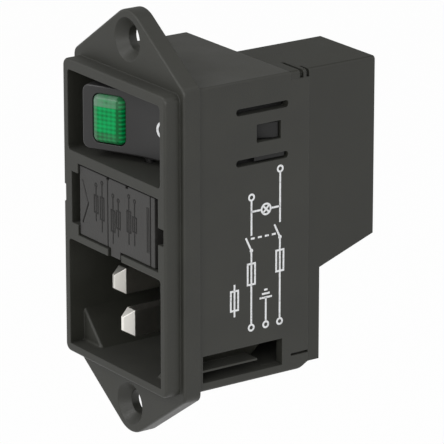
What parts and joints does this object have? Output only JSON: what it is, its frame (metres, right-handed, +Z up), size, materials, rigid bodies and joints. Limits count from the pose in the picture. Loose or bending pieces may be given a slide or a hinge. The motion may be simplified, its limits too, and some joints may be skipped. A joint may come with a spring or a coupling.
{
  "type": "power entry module",
  "caption": "Panel-mounted mains inlet with a lit rocker switch above a pull-out fuse drawer, in an eared flange with countersunk screw holes.",
  "frame": {"origin": "midway between the two screw holes, on the flange's rear face where the panel lies", "axes": "+Z up along the line of the screw holes, -Y out of the front, +X the viewer's right"},
  "size_m": [0.0288, 0.0371, 0.0648],
  "materials": {
    "housing_plastic": "satin, fine grain",
    "cover_plastic": "satin, fine grain",
    "rocker_plastic": "satin",
    "drawer_plastic": "fine grain",
    "base_plastic": "matt",
    "lens_plastic": "clear green, ribbed",
    "plunger_plastic": "satin",
    "lamp_glass": "clear",
    "resistor_body": "lacquered",
    "spring_steel": "bright",
    "pin_nickel": "nickel plated",
    "terminal_brass": "bright",
    "contact_silver": "silvered",
    "fuse_glass": "clear",
    "fuse_cap": "nickel plated",
    "fuse_wire": "bright"
  },
  "bodies": {
    "case": {"housing": "housing_plastic", "rear_cover": "cover_plastic", "switch_base": "base_plastic", "line_pin": "pin_nickel", "neutral_pin": "pin_nickel", "earth_pin": "pin_nickel", "line_pivot_terminal": "terminal_brass", "line_fixed_contact": "terminal_brass", "line_bus_bar": "terminal_brass", "line_front_contact": "contact_silver", "line_rear_contact": "contact_silver", "neutral_pivot_terminal": "terminal_brass", "neutral_fixed_contact": "terminal_brass", "neutral_bus_bar": "terminal_brass", "neutral_front_contact": "contact_silver", "neutral_rear_contact": "contact_silver"},
    "rocker_body": {"rocker": "rocker_plastic", "rocker_lens": "lens_plastic", "neon_lamp": "lamp_glass", "ballast_resistor": "resistor_body", "line_plunger_spring": "spring_steel", "neutral_plunger_spring": "spring_steel"},
    "drawer_body": {"fuse_drawer": "drawer_plastic", "line_fuse_tube": "fuse_glass", "line_fuse_caps": "fuse_cap", "line_fuse_wire": "fuse_wire", "neutral_fuse_tube": "fuse_glass", "neutral_fuse_caps": "fuse_cap", "neutral_fuse_wire": "fuse_wire"},
    "line_lever_body": {"line_contact_lever": "contact_silver"},
    "line_plunger_body": {"line_plunger": "plunger_plastic"},
    "neutral_lever_body": {"neutral_contact_lever": "contact_silver"},
    "neutral_plunger_body": {"neutral_plunger": "plunger_plastic"}
  },
  "joints": [
    {"name": "rocker_tilt", "type": "hinge", "parent": "case", "child": "rocker_body", "pos_m": [0, 0.00105, 0.01512], "axis": [0, 0, -1], "range_deg": [0, 40]},
    {"name": "line_lever_rock", "type": "hinge", "parent": "case", "child": "line_lever_body", "pos_m": [0, 0.0098, 0.01802], "axis": [0, 0, 1], "range_deg": [0, 16]},
    {"name": "line_plunger_slide", "type": "slide", "parent": "rocker_body", "child": "line_plunger_body", "axis": [0.342, -0.9397, 0], "range_m": [0, 0.001], "stiffness_N_per_m": 400, "springref_m": -0.0005, "deforming": ["line_plunger_spring"]},
    {"name": "neutral_lever_rock", "type": "hinge", "parent": "case", "child": "neutral_lever_body", "pos_m": [0, 0.0098, 0.01222], "axis": [0, 0, 1], "range_deg": [0, 16]},
    {"name": "neutral_plunger_slide", "type": "slide", "parent": "rocker_body", "child": "neutral_plunger_body", "axis": [0.342, -0.9397, 0], "range_m": [0, 0.001], "stiffness_N_per_m": 400, "springref_m": -0.0005, "deforming": ["neutral_plunger_spring"]},
    {"name": "drawer_slide", "type": "slide", "parent": "case", "child": "drawer_body", "axis": [0, -1, 0], "range_m": [0, 0.024]}
  ],
  "couplings": [
    {"joint": "line_lever_rock", "follows": "rocker_tilt", "ratio": 0.4},
    {"joint": "neutral_lever_rock", "follows": "rocker_tilt", "ratio": 0.4}
  ]
}
